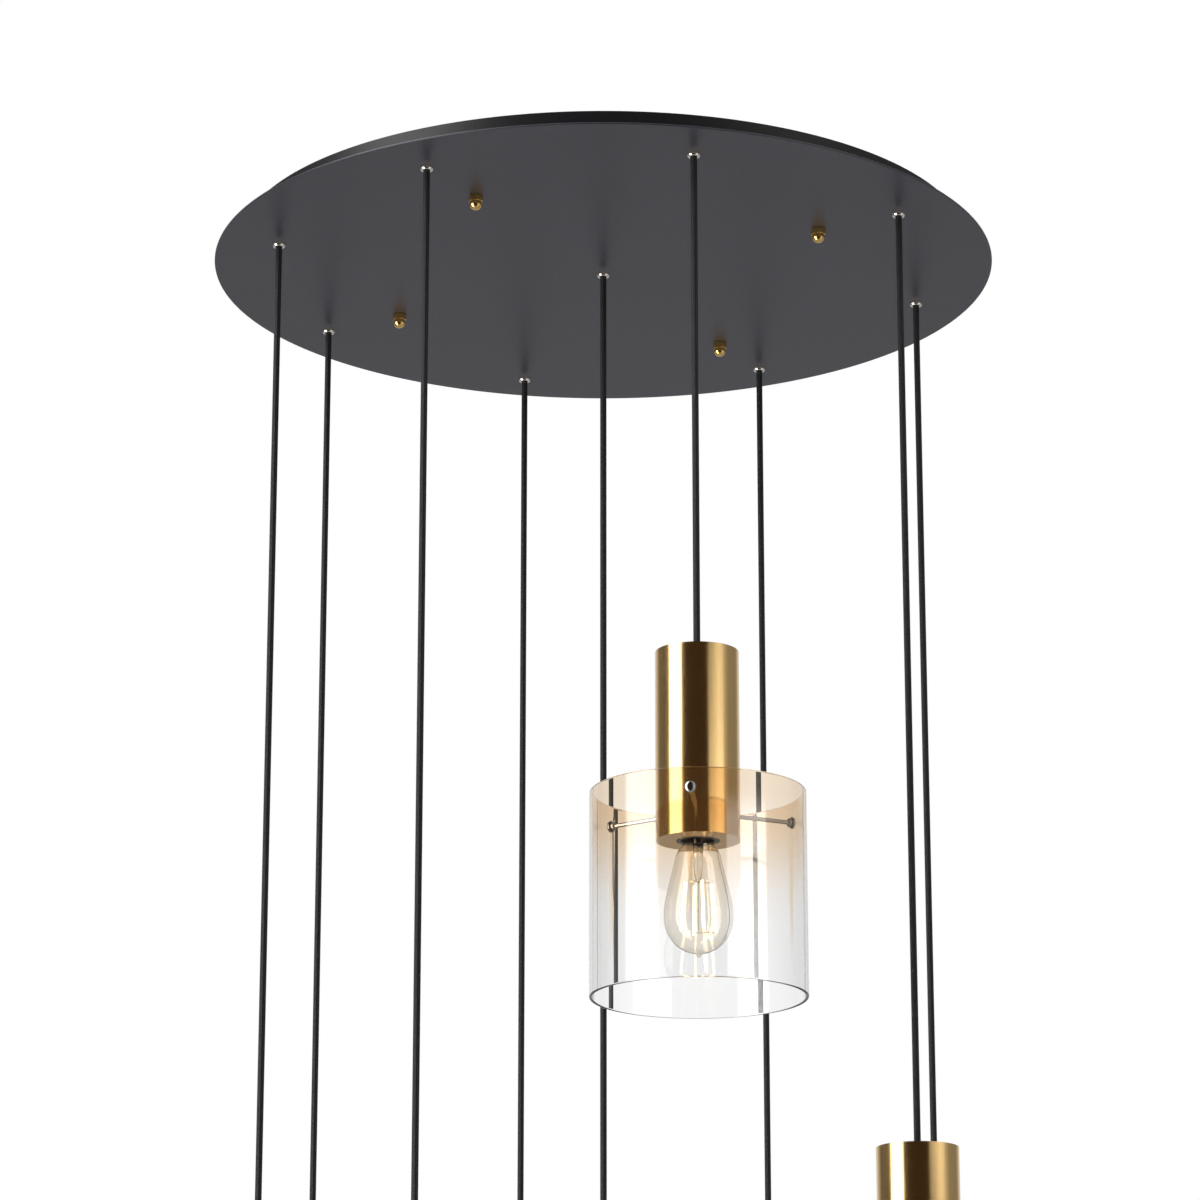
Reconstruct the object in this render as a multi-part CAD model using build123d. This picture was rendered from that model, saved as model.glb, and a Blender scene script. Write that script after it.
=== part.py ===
from build123d import *

import os
from math import atan2, cos, degrees, radians, sin

# Cluster pendant: a round flat ceiling canopy from which nine glass pendants hang on straight cords, eight in a
# ring and one in the middle, each lower than the one before it.
# Millimetres. Origin at the middle of the ceiling side of the bracket, +Z up, pendant 1 towards -Y.

# Canopy: a thin face plate under a narrower hoop that reaches up to the ceiling
face_diameter = 800.0
face_thickness = 2.0
canopy_depth = 24.0
face_past_hoop = 25.0
hoop_wall = 1.5
hoop_flange = 12.0

# Ceiling bracket: two crossed bars with a stud near each end
bar_width = 30.0
bar_thickness = 2.5
bar_past_stud = 18.0
stud_ring_radius = 250.0
stud_diameter = 8.0
stud_in_nut = 10.0
stud_hole_clearance = 0.5
screw_ring_radius = 150.0
screw_hole_diameter = 6.5
supply_hole_diameter = 20.0

# Acorn nuts that hold the face plate on the studs
nut_across_flats = 13.0
nut_hex_height = 6.5
nut_height = 15.0
nut_dome_diameter = 12.4
nut_dome_start = 8.8
nut_dome_middle = 12.8
nut_tip_diameter = 4.4
nut_bore_clearance = 0.05
nut_bore_past_stud = 1.0

# Terminal block under one bar of the bracket
block_length = 52.0
block_width = 20.0
block_base_height = 6.0
block_tower_height = 15.0
block_tower_width = 12.0
block_tower_gap = 3.0
block_poles = 3
block_wire_diameter = 4.0
block_from_middle = 92.0

# Cord glands: a domed collar below the face plate, a threaded shank through it, a locknut above it
gland_diameter = 13.0
gland_mouth_diameter = 9.4
gland_height = 5.0
gland_dome_height = 2.6
gland_shank_diameter = 10.0
gland_thread_past_nut = 0.5
locknut_across_flats = 14.0
locknut_height = 3.0
thread_clearance = 0.1

# Cords and where they hang
cord_diameter = 6.5
cord_clearance = 0.4
cord_in_gland = 4.0
ring_cords = 8
cord_from_face_edge = 60.0
first_drop = 499.0
second_drop = 936.0
third_drop = 1060.0
drop_step = 80.0

# Metal sleeve over the lampholder
sleeve_diameter = 78.0
sleeve_length = 180.0
sleeve_wall = 1.2
sleeve_end_thickness = 1.5
sleeve_mouth_diameter = 40.0
grip_diameter = 14.0
grip_length = 10.0

# Lampholder, on the lower end of the sleeve
holder_clearance = 0.5
holder_length = 50.0
holder_collar_lap = 3.5
holder_collar_thickness = 3.0
holder_mouth_clearance = 3.0
holder_mouth_depth = 9.0
base_clearance = 0.08

# Filament bulb
bulb_base_diameter = 26.0
bulb_base_length = 26.0
bulb_in_sleeve = 33.4
bulb_wall = 1.0
bulb_neck_inset = 0.2
bulb_shoulder_diameter = 43.0
bulb_shoulder_drop = 15.0
bulb_diameter = 64.0
bulb_widest_drop = 71.0
bulb_low_diameter = 50.0
bulb_low_drop = 92.0
bulb_tip_diameter = 4.0
bulb_tip_drop = 108.6
stem_diameter = 11.0
stem_tip_diameter = 5.0
stem_length = 46.0
filament_width = 2.2
filament_length = 47.0
filament_top_radius = 12.5
filament_low_radius = 16.5
filament_holder_thickness = 1.4

# Glass shade, a tube that is open at both ends
shade_diameter = 200.0
shade_height = 192.0
shade_wall = 3.0
shade_above_sleeve_mouth = 46.0
shade_hole_diameter = 6.0

# Three arms that carry the shade, and the cap screws outside the glass
arm_count = 3
first_arm_angle = 250.0
arm_below_shade_top = 19.0
arm_diameter = 4.0
arm_collar_diameter = 8.0
arm_collar_thickness = 2.0
glass_clearance = 0.3
cap_diameter = 11.0
cap_rim_thickness = 2.0
cap_crown_diameter = 6.5
cap_crown_height = 2.4

# Pieces that repeat are drawn with flat sides, so that nine pendants stay light; each arm meets a flat side
sleeve_sides_per_arm = 6
shade_sides_per_arm = 8
holder_sides = 8
bulb_sides = 10
fitting_sides = 8
cord_sides = 8
arm_sides = 6

face_low = -canopy_depth
face_top = face_low + face_thickness
hoop_radius = face_diameter / 2 - face_past_hoop
cord_ring_radius = face_diameter / 2 - cord_from_face_edge
stud_radius = stud_diameter / 2
cord_hole_radius = cord_diameter / 2 + cord_clearance
sleeve_radius = sleeve_diameter / 2
sleeve_mouth_radius = sleeve_mouth_diameter / 2
shade_radius = shade_diameter / 2
shade_inner_radius = shade_radius - shade_wall

# Heights on a pendant, from the top of its sleeve
sleeve_mouth = -sleeve_length
shade_top = sleeve_mouth + shade_above_sleeve_mouth
shade_bottom = shade_top - shade_height
arm_height = shade_top - arm_below_shade_top

drops = [first_drop, second_drop]
drops += [third_drop + step * drop_step for step in range(ring_cords - 1)]
ring_angles = [360.0 / ring_cords * place for place in range(ring_cords)]
cord_places = [(cord_ring_radius * sin(radians(a)), -cord_ring_radius * cos(radians(a))) for a in ring_angles]
cord_places += [(0.0, 0.0)]
sleeve_sides = arm_count * sleeve_sides_per_arm
shade_sides = arm_count * shade_sides_per_arm
arm_angles = [first_arm_angle + 360.0 / arm_count * arm for arm in range(arm_count)]


def flat_ring(radius, sides, height, angle=0.0):
    """A level polygon whose flat sides are `radius` from the axis; one side faces `angle`."""
    return Plane.XY.offset(height) * RegularPolygon(
        radius, sides, major_radius=False, rotation=angle - 180.0 / sides
    )


def flat_band(start, end, sides, angle=0.0):
    """A straight or tapered length between two (radius, height) stations, drawn from its wider end."""
    wide, narrow = (start, end) if start[0] >= end[0] else (end, start)
    length = abs(narrow[1] - wide[1])
    taper = degrees(atan2(wide[0] - narrow[0], length))
    upward = extrude(flat_ring(wide[0], sides, wide[1], angle), amount=length, taper=taper)
    return upward if narrow[1] > wide[1] else mirror(upward, about=Plane.XY.offset(wide[1]))


def turned(stations, sides, angle=0.0):
    """A turned form with flat sides, through (radius, height) stations in order."""
    bands = [flat_band(start, end, sides, angle) for start, end in zip(stations, stations[1:])]
    return bands[0] + bands[1:] if len(bands) > 1 else bands[0]


def rod(radius, low, high):
    """A round upright bar on the axis between two heights."""
    return Pos(0, 0, (low + high) / 2) * Cylinder(radius, high - low)


def on_circle(solid, radius, count, first_angle=0.0):
    """Copies of a solid, evenly spaced on a level circle."""
    return [Rot(0, 0, first_angle + 360.0 / count * i) * Pos(radius, 0, 0) * solid for i in range(count)]


def make_canopy_face():
    plate = rod(face_diameter / 2, face_low, face_top)
    hole_radius = gland_shank_diameter / 2 + thread_clearance
    cord_hole = turned([(hole_radius, face_low), (hole_radius, face_top)], fitting_sides)
    stud_hole_radius = stud_radius + stud_hole_clearance
    stud_hole = turned([(stud_hole_radius, face_low), (stud_hole_radius, face_top)], fitting_sides)
    for x, y in cord_places:
        plate -= Pos(x, y, 0) * cord_hole
    for hole in on_circle(stud_hole, stud_ring_radius, 4, 45.0):
        plate -= hole
    return plate


def make_canopy_hoop():
    inner = hoop_radius - hoop_wall
    section = Polyline(
        (hoop_radius, face_top),
        (hoop_radius, 0),
        (inner, 0),
        (inner, face_top + hoop_wall),
        (inner - hoop_flange, face_top + hoop_wall),
        (inner - hoop_flange, face_top),
        close=True,
    )
    return revolve(Plane.XZ * make_face(section), Axis.Z)


def make_ceiling_bracket():
    bar_length = 2 * (stud_ring_radius + bar_past_stud)
    bar = Pos(0, 0, -bar_thickness / 2) * Box(bar_length, bar_width, bar_thickness)
    bracket = Rot(0, 0, 45) * bar + Rot(0, 0, 135) * bar
    bracket -= rod(supply_hole_diameter / 2, -bar_thickness, 0)
    screw_hole = rod(screw_hole_diameter / 2, -bar_thickness, 0)
    for hole in on_circle(screw_hole, screw_ring_radius, 4, 45.0):
        bracket -= hole
    stud = turned([(stud_radius, face_low - stud_in_nut), (stud_radius, -bar_thickness)], fitting_sides)
    for copy in on_circle(stud, stud_ring_radius, 4, 45.0):
        bracket += copy
    return bracket


def make_acorn_nut():
    """A cap nut with its flat face up against the face plate."""
    hexagon = turned([(nut_across_flats / 2, face_low - nut_hex_height), (nut_across_flats / 2, face_low)], 6)
    dome_radius = nut_dome_diameter / 2
    tip_radius = nut_tip_diameter / 2
    dome = turned(
        [
            (dome_radius, face_low - nut_hex_height),
            (dome_radius, face_low - nut_dome_start),
            ((3 * dome_radius + tip_radius) / 4, face_low - nut_dome_middle),
            (tip_radius, face_low - nut_height),
        ],
        fitting_sides,
    )
    bore_radius = stud_radius + nut_bore_clearance
    bore_low = face_low - stud_in_nut - nut_bore_past_stud
    return hexagon + dome - turned([(bore_radius, bore_low), (bore_radius, face_low)], fitting_sides)


def make_terminal_block():
    """A screw terminal strip with one tower for each pole, under the bar that runs to +X +Y."""
    top = -bar_thickness
    block = Pos(0, 0, top - block_base_height / 2) * Box(block_length, block_width, block_base_height)
    pitch = block_tower_width + block_tower_gap
    for pole in range(block_poles):
        along = (pole - (block_poles - 1) / 2) * pitch
        tower = Pos(along, 0, top - block_tower_height / 2)
        block += tower * Box(block_tower_width, block_width - block_tower_gap, block_tower_height)
        wire_height = top - (block_base_height + block_tower_height) / 2
        block -= Pos(along, 0, wire_height) * Box(block_wire_diameter, block_width, block_wire_diameter)
    return Rot(0, 0, 45) * Pos(block_from_middle, 0, 0) * block


def make_gland():
    """A domed collar with its threaded shank, on the axis of its cord."""
    mouth = face_low - gland_height
    widest = mouth + gland_dome_height
    collar = turned(
        [(gland_mouth_diameter / 2, mouth), (gland_diameter / 2, widest), (gland_diameter / 2, face_low)],
        fitting_sides,
    )
    shank_top = face_top + locknut_height + gland_thread_past_nut
    shank_radius = gland_shank_diameter / 2
    collar += turned([(shank_radius, face_low), (shank_radius, shank_top)], fitting_sides)
    return collar - turned([(cord_hole_radius, mouth), (cord_hole_radius, shank_top)], fitting_sides)


def make_locknut():
    """The nut that holds a gland, on the upper side of the face plate."""
    locknut_top = face_top + locknut_height
    hexagon = turned([(locknut_across_flats / 2, face_top), (locknut_across_flats / 2, locknut_top)], 6)
    bore_radius = gland_shank_diameter / 2 + thread_clearance
    return hexagon - turned([(bore_radius, face_top), (bore_radius, locknut_top)], fitting_sides)


def make_sleeve():
    """The metal tube over the lampholder, closed above around the cord grip and narrowed below."""
    first_arm = arm_angles[0]
    tube = turned([(sleeve_radius, sleeve_mouth), (sleeve_radius, 0)], sleeve_sides, first_arm)
    inner = sleeve_radius - sleeve_wall
    ceiling = -sleeve_end_thickness
    floor = sleeve_mouth + sleeve_end_thickness
    tube -= turned([(inner, floor), (inner, ceiling)], sleeve_sides, first_arm)
    tube += turned([(grip_diameter / 2, -grip_length), (grip_diameter / 2, ceiling)], fitting_sides)
    tube -= turned([(cord_hole_radius, -grip_length), (cord_hole_radius, 0)], fitting_sides)
    return tube - turned([(sleeve_mouth_radius, sleeve_mouth), (sleeve_mouth_radius, floor)], holder_sides)


def make_lampholder():
    """A deep cup whose collar rests on the lower end of the sleeve."""
    outer = sleeve_mouth_radius - holder_clearance
    seat = sleeve_mouth + sleeve_end_thickness
    holder_top = sleeve_mouth + holder_length
    cup = turned([(outer, sleeve_mouth), (outer, holder_top)], holder_sides)
    collar_radius = sleeve_mouth_radius + holder_collar_lap
    cup += turned([(collar_radius, seat), (collar_radius, seat + holder_collar_thickness)], holder_sides)
    socket_radius = bulb_base_diameter / 2 + base_clearance
    socket_top = sleeve_mouth + bulb_in_sleeve + base_clearance
    cup -= turned([(socket_radius, sleeve_mouth), (socket_radius, socket_top)], bulb_sides)
    mouth_radius = bulb_base_diameter / 2 + holder_mouth_clearance
    mouth_top = sleeve_mouth + holder_mouth_depth
    return cup - turned([(mouth_radius, sleeve_mouth), (mouth_radius, mouth_top)], holder_sides)


def make_bulb():
    """A screw base, a hollow pear-shaped glass and the filaments inside it, as three solids."""
    base_top = sleeve_mouth + bulb_in_sleeve
    base_low = base_top - bulb_base_length
    corner_to_flat = cos(radians(180.0 / bulb_sides))
    base_radius = bulb_base_diameter / 2 * corner_to_flat
    base = turned([(base_radius, base_low), (base_radius, base_top)], bulb_sides)

    neck_radius = bulb_base_diameter / 2 - bulb_neck_inset
    outline = [
        (neck_radius, base_low),
        (neck_radius, sleeve_mouth),
        (bulb_shoulder_diameter / 2, sleeve_mouth - bulb_shoulder_drop),
        (bulb_diameter / 2, sleeve_mouth - bulb_widest_drop),
        (bulb_low_diameter / 2, sleeve_mouth - bulb_low_drop),
        (bulb_tip_diameter / 2, sleeve_mouth - bulb_tip_drop),
    ]
    glass = turned([(radius * corner_to_flat, height) for radius, height in outline], bulb_sides)
    hollow = [(radius - bulb_wall, height) for radius, height in outline[:-1]]
    hollow += [(bulb_tip_diameter / 2, sleeve_mouth - bulb_tip_drop + 2 * bulb_wall)]
    glass -= turned([(radius * corner_to_flat, height) for radius, height in hollow], bulb_sides)

    stem_low = base_low - stem_length
    stem = turned([(stem_tip_diameter / 2, stem_low), (stem_diameter / 2, base_low)], arm_sides)
    filament_low = stem_low - filament_length
    half = filament_holder_thickness / 2
    for arm in range(2):
        turn = Rot(0, 0, 90.0 * arm)
        upper = Box(2 * filament_top_radius + filament_width, filament_width, 2 * half)
        lower = Box(2 * filament_low_radius + filament_width, filament_width, 2 * half)
        stem += turn * Pos(0, 0, stem_low) * upper
        stem += turn * Pos(0, 0, filament_low) * lower
    for place in range(4):
        ends = [(filament_low_radius, filament_low), (filament_top_radius, stem_low)]
        square = Rectangle(filament_width, filament_width)
        bar = loft([Pos(radius, 0, height) * square for radius, height in ends], ruled=True)
        stem += Rot(0, 0, 90.0 * place) * bar
    return [base, glass, stem]


def make_shade():
    tube = turned([(shade_radius, shade_bottom), (shade_radius, shade_top)], shade_sides, arm_angles[0])
    bore = turned(
        [(shade_inner_radius, shade_bottom), (shade_inner_radius, shade_top)], shade_sides, arm_angles[0]
    )
    tube -= bore
    hole_radius = shade_hole_diameter / 2
    across_glass = [(hole_radius, shade_inner_radius - shade_wall), (hole_radius, shade_radius + shade_wall)]
    for angle in arm_angles:
        tube -= radial(turned(across_glass, arm_sides), angle, arm_height)
    return tube


def radial(upright, angle, height):
    """Lays an upright form down along a radius: its height becomes the distance from the axis."""
    return Pos(0, 0, height) * Rot(0, 0, angle) * Rot(0, 90, 0) * upright


def make_shade_arms():
    """Three arms from the sleeve to the glass, and a domed cap screw outside the glass for each."""
    arm_end = shade_inner_radius - glass_clearance
    arm_radius = arm_diameter / 2
    collar_radius = arm_collar_diameter / 2
    arm = turned([(arm_radius, sleeve_radius), (arm_radius, arm_end)], arm_sides)
    arm += turned([(collar_radius, arm_end - arm_collar_thickness), (collar_radius, arm_end)], arm_sides)
    head = shade_radius + glass_clearance
    rim = head + cap_rim_thickness
    screw = turned([(arm_radius, arm_end), (arm_radius, head)], arm_sides)
    screw += turned(
        [(cap_diameter / 2, head), (cap_diameter / 2, rim), (cap_crown_diameter / 2, rim + cap_crown_height)],
        arm_sides,
    )
    return [radial(piece, angle, arm_height) for angle in arm_angles for piece in (arm, screw)]


def make_cord(drop):
    """A straight cord from inside its gland to the lower end of the grip in the sleeve."""
    top = face_low - gland_height + cord_in_gland
    low = face_low - drop - grip_length
    return turned([(cord_diameter / 2, low), (cord_diameter / 2, top)], cord_sides)


def group(solids):
    return Compound(children=[copy for copy in solids])


def save(name, shape):
    export_step(shape, os.path.join("parts", name + ".step"))


def main():
    os.makedirs("parts", exist_ok=True)
    save("canopy_face", make_canopy_face())
    save("canopy_hoop", make_canopy_hoop())
    save("ceiling_bracket", make_ceiling_bracket())
    save("terminal_block", make_terminal_block())
    save("acorn_nuts", group(on_circle(make_acorn_nut(), stud_ring_radius, 4, 45.0)))
    gland = make_gland()
    locknut = make_locknut()
    save("cord_glands", group([Pos(x, y, 0) * piece for x, y in cord_places for piece in (gland, locknut)]))

    sleeve = make_sleeve()
    lampholder = make_lampholder()
    bulb = make_bulb()
    shade = make_shade()
    arms = make_shade_arms()
    for number, ((x, y), drop) in enumerate(zip(cord_places, drops), start=1):
        hang = Pos(x, y, face_low - drop)
        save(f"cord_{number}", Pos(x, y, 0) * make_cord(drop))
        save(f"sleeve_{number}", hang * sleeve)
        save(f"lampholder_{number}", hang * lampholder)
        save(f"bulb_{number}", group([hang * piece for piece in bulb]))
        save(f"glass_shade_{number}", hang * shade)
        save(f"shade_arms_{number}", group([hang * piece for piece in arms]))


main()
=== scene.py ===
# %% [markdown]
# # A cluster pendant, dressed in Blender
# The lamp is a flat round canopy with nine straight cords. Each cord carries a brass sleeve, a filament
# bulb and a tube of amber-tinted glass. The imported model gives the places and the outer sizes, in metres
# with +Z up. This lesson adds what the eye needs: round forms, softened edges, glass, filaments, braid
# and finishes.

# %% Load the frame
from math import cos, degrees, pi, radians, sin

import bmesh
import bpy
from mathutils import Matrix, Vector
from mathutils.geometry import interpolate_bezier


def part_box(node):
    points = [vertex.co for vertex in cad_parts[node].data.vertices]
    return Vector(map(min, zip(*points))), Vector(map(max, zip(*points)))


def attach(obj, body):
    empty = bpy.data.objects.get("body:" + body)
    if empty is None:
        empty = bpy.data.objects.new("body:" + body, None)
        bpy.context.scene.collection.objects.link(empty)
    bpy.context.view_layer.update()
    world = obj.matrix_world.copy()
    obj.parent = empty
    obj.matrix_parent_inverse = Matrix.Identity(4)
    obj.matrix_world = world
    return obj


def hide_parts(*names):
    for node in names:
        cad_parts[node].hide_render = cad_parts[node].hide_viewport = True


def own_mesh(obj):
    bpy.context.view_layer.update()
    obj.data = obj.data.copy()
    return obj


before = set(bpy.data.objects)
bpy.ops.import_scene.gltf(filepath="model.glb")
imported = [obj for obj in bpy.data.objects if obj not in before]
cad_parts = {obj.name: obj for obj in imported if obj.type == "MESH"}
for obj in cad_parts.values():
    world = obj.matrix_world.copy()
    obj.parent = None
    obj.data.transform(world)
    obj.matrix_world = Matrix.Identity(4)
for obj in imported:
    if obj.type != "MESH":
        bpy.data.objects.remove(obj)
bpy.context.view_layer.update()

# %% [markdown]
# ## Where the pendants hang
# Every pendant is the same, so each of its pieces is modelled once round a local origin, the middle of
# the sleeve's upper end, and is then copied to the nine places that the frame gives.

# %% Read the nine places
MM = 0.001
PENDANTS = range(1, 10)


def span(node):
    """The lowest and highest corners of a node of the frame."""
    low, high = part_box(node)
    return Vector(low), Vector(high)


hang_points = {}
for number in PENDANTS:
    low, high = span(f"sleeve_{number}")
    hang_points[number] = Vector(((low.x + high.x) / 2, (low.y + high.y) / 2, high.z))
face_low = span("canopy_face")[0].z
print("lowest sleeve top:", round(min(point.z for point in hang_points.values()), 3))

# %% [markdown]
# ## The camera
# The photograph looks up at the canopy from nearly five metres away, a little to the left of pendant 1. A
# level camera with a tall shift would keep the cords parallel, but the shift would push the lamp out of
# every other view. So the camera is tilted up instead and the lens is fitted to the outline of the canopy
# and of the first pendant.

# %% Place the camera
camera_turn = radians(14.81)
camera_distance = 4.27
camera_height = -1.625
aim_height = -0.376
aim_aside = -0.0034
towards_camera = Vector((-sin(camera_turn), -cos(camera_turn), 0.0))
camera_right = Vector((cos(camera_turn), -sin(camera_turn), 0.0))

camera = bpy.data.objects.new("photo_camera", bpy.data.cameras.new("photo_camera"))
bpy.context.scene.collection.objects.link(camera)
camera.data.sensor_width = 36.0
camera.data.lens = 132.1
camera.data.clip_end = 50.0
camera.location = towards_camera * camera_distance + Vector((0.0, 0.0, camera_height))
aim = camera_right * aim_aside + Vector((0.0, 0.0, aim_height))
camera.rotation_euler = (aim - camera.location).to_track_quat("-Z", "Y").to_euler()
bpy.context.scene.camera = camera
bpy.context.scene.view_settings.view_transform = "Standard"
print("camera tilt:", round(degrees(camera.rotation_euler.x) - 90.0, 2), "degrees up")

# %% [markdown]
# ## Sums with shader nodes
# A finish is a small graph of nodes. Written node by node it is hard to read, so one class wraps an
# output and turns ordinary sums into Math nodes, and one method adds every other kind of node.

# %% Wrap the shader nodes


class Signal:
    """An output of a shader node that adds, multiplies and compares like a number."""

    def __init__(self, recipe, output):
        self.recipe = recipe
        self.output = output

    def sum_with(self, operation, first, second=0.0):
        return self.recipe.add("ShaderNodeMath", {"operation": operation}, {0: first, 1: second})

    def __add__(self, other):
        return self.sum_with("ADD", self, other)

    def __sub__(self, other):
        return self.sum_with("SUBTRACT", self, other)

    def __rsub__(self, other):
        return self.sum_with("SUBTRACT", other, self)

    def __mul__(self, other):
        return self.sum_with("MULTIPLY", self, other)

    def __truediv__(self, other):
        return self.sum_with("DIVIDE", self, other)

    def __gt__(self, other):
        return self.sum_with("GREATER_THAN", self, other)

    def wave(self):
        return self.sum_with("SINE", self)


class Recipe:
    """The node graph of one finish, or of the world."""

    def __init__(self, owner):
        owner.use_nodes = True
        self.tree = owner.node_tree
        self.tree.nodes.clear()

    def add(self, kind, settings=None, inputs=None, output=0):
        """Adds a node, sets it up, then gives its sockets numbers, colours or signals."""
        node = self.tree.nodes.new(kind)
        for name, value in (settings or {}).items():
            if name == "stops":
                fill_ramp(node.color_ramp, value)
            else:
                setattr(node, name, value)
        for name, value in (inputs or {}).items():
            if isinstance(value, Signal):
                self.tree.links.new(value.output, node.inputs[name])
            else:
                node.inputs[name].default_value = value
        return Signal(self, node.outputs[output]) if node.outputs else None

    def ramp(self, value, start, end, first=0.0, last=1.0):
        """Goes smoothly from `first` to `last` while the value goes from `start` to `end`."""
        settings = {"interpolation_type": "SMOOTHSTEP"}
        return self.add("ShaderNodeMapRange", settings, {0: value, 1: start, 2: end, 3: first, 4: last})

    def blend(self, share, first, second):
        """A colour between two others."""
        return self.add("ShaderNodeMix", {"data_type": "RGBA"}, {0: share, 6: first, 7: second}, output=2)

    def noise(self, place, scale, detail, roughness=0.5):
        inputs = {"Vector": place, "Scale": scale, "Detail": detail, "Roughness": roughness}
        return self.add("ShaderNodeTexNoise", {}, inputs)

    def stretched(self, place, scale):
        """A place with each axis scaled by its own amount."""
        return self.add("ShaderNodeMapping", {}, {"Vector": place, "Scale": scale})

    def bump(self, height, distance, strength):
        return self.add("ShaderNodeBump", {}, {"Height": height, "Distance": distance, "Strength": strength})


def fill_ramp(color_ramp, stops):
    """Sets the stops of a colour ramp from (position, colour) pairs."""
    for position, colour in stops[1:-1]:
        color_ramp.elements.new(position).color = colour
    color_ramp.elements[0].position, color_ramp.elements[0].color = stops[0]
    color_ramp.elements[-1].position, color_ramp.elements[-1].color = stops[-1]


def finish_of(name, sockets):
    """A new material with a Principled shader whose sockets are filled by `sockets(recipe)`."""
    material = bpy.data.materials.new(name)
    recipe = Recipe(material)
    surface = recipe.add("ShaderNodeBsdfPrincipled", {}, sockets(recipe))
    recipe.add("ShaderNodeOutputMaterial", {}, {"Surface": surface})
    return material


def own_place(recipe):
    """The place on a piece, in metres from the pendant's or the canopy's own origin."""
    return recipe.add("ShaderNodeAttribute", {"attribute_name": "place"}, output=1)


def object_place(recipe):
    """The place on a piece of the frame itself, whose origin is the frame's."""
    return recipe.add("ShaderNodeTexCoord", output=3)


def parts_of(recipe, place):
    """The x, y and z of a place as three signals."""
    x = recipe.add("ShaderNodeSeparateXYZ", {}, {0: place})
    outputs = x.output.node.outputs
    return x, Signal(recipe, outputs[1]), Signal(recipe, outputs[2])


print("node helpers ready")

# %% [markdown]
# ## Finishes of the canopy
# The canopy is powder coated: satin, nearly black with a breath of violet, and slightly pebbled. Its
# gloss is broad, so the cords show in it only as soft dark smears. The acorn nuts are polished brass, the
# cord glands bright nickel, and the bracket that the ceiling hides is zinc plated.

# %% Make the canopy's finishes


def graphite_paint(recipe):
    place = own_place(recipe)
    pebbles = recipe.noise(place, 900.0, 2.0)
    clouds = recipe.noise(place, 6.0, 3.0)
    return {
        "Base Color": recipe.blend(clouds, (0.019, 0.018, 0.026, 1.0), (0.025, 0.023, 0.033, 1.0)),
        "Roughness": recipe.ramp(pebbles, 0.3, 0.7, 0.34, 0.44),
        "Specular IOR Level": 0.55,
        "Normal": recipe.bump(pebbles, 0.00004, 0.5),
    }


def black_paint(recipe):
    pebbles = recipe.noise(own_place(recipe), 900.0, 2.0)
    return {
        "Base Color": recipe.blend(pebbles, (0.006, 0.006, 0.007, 1.0), (0.009, 0.009, 0.011, 1.0)),
        "Roughness": recipe.ramp(pebbles, 0.3, 0.7, 0.32, 0.40),
        "Specular IOR Level": 0.28,
        "Normal": recipe.bump(pebbles, 0.00004, 0.4),
    }


def bright_nickel(recipe):
    smudges = recipe.noise(own_place(recipe), 260.0, 2.0)
    return {
        "Base Color": recipe.blend(smudges, (0.86, 0.83, 0.77, 1.0), (0.80, 0.76, 0.70, 1.0)),
        "Metallic": 1.0,
        "Roughness": recipe.ramp(smudges, 0.2, 0.8, 0.07, 0.16),
    }


def polished_brass(recipe):
    smudges = recipe.noise(own_place(recipe), 320.0, 2.0)
    return {
        "Base Color": recipe.blend(smudges, (0.83, 0.56, 0.20, 1.0), (0.74, 0.47, 0.15, 1.0)),
        "Metallic": 1.0,
        "Roughness": recipe.ramp(smudges, 0.2, 0.8, 0.08, 0.18),
    }


def zinc_steel(recipe):
    place = object_place(recipe)
    spangle = recipe.add("ShaderNodeTexVoronoi", {}, {"Vector": place, "Scale": 140.0}, output=1)
    flecks = recipe.noise(place, 700.0, 2.0)
    return {
        "Base Color": recipe.blend(flecks, (0.56, 0.57, 0.58, 1.0), (0.48, 0.49, 0.51, 1.0)),
        "Metallic": 1.0,
        "Roughness": recipe.ramp(spangle, 0.0, 1.0, 0.28, 0.42),
        "Normal": recipe.bump(flecks, 0.00003, 0.4),
    }


def cream_plastic(recipe):
    grain = recipe.noise(object_place(recipe), 1200.0, 2.0)
    return {
        "Base Color": recipe.blend(grain, (0.80, 0.77, 0.68, 1.0), (0.74, 0.71, 0.62, 1.0)),
        "Roughness": recipe.ramp(grain, 0.3, 0.7, 0.38, 0.52),
        "Normal": recipe.bump(grain, 0.00003, 0.4),
    }


graphite = finish_of("graphite_powder_coat", graphite_paint)
black = finish_of("black_powder_coat", black_paint)
nickel = finish_of("bright_nickel_plate", bright_nickel)
brass_polished = finish_of("polished_brass", polished_brass)
zinc = finish_of("zinc_plated_steel", zinc_steel)
cream = finish_of("cream_moulded_plastic", cream_plastic)
print("canopy finishes ready")

# %% [markdown]
# ## Finishes of the pendants
# The sleeve is brass brushed along its length, so its reflections stand in upright bands. The cord is a
# black cotton braid: two sets of yarns cross at a slant. The lampholder is black phenolic, and the arms
# and screws are chrome plated.

# %% Make the pendants' finishes
braid_strands = 12
braid_pitch = 16.0 * MM


def satin_brass(recipe):
    place = own_place(recipe)
    lines = recipe.noise(recipe.stretched(place, (1.0, 1.0, 0.012)), 2600.0, 3.0, 0.6)
    clouds = recipe.noise(place, 24.0, 3.0)
    return {
        "Base Color": recipe.blend(clouds, (0.78, 0.545, 0.245, 1.0), (0.72, 0.495, 0.215, 1.0)),
        "Metallic": 1.0,
        "Roughness": recipe.ramp(lines, 0.25, 0.75, 0.12, 0.20),
        "Normal": recipe.bump(lines, 0.000008, 0.5),
    }


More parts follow.
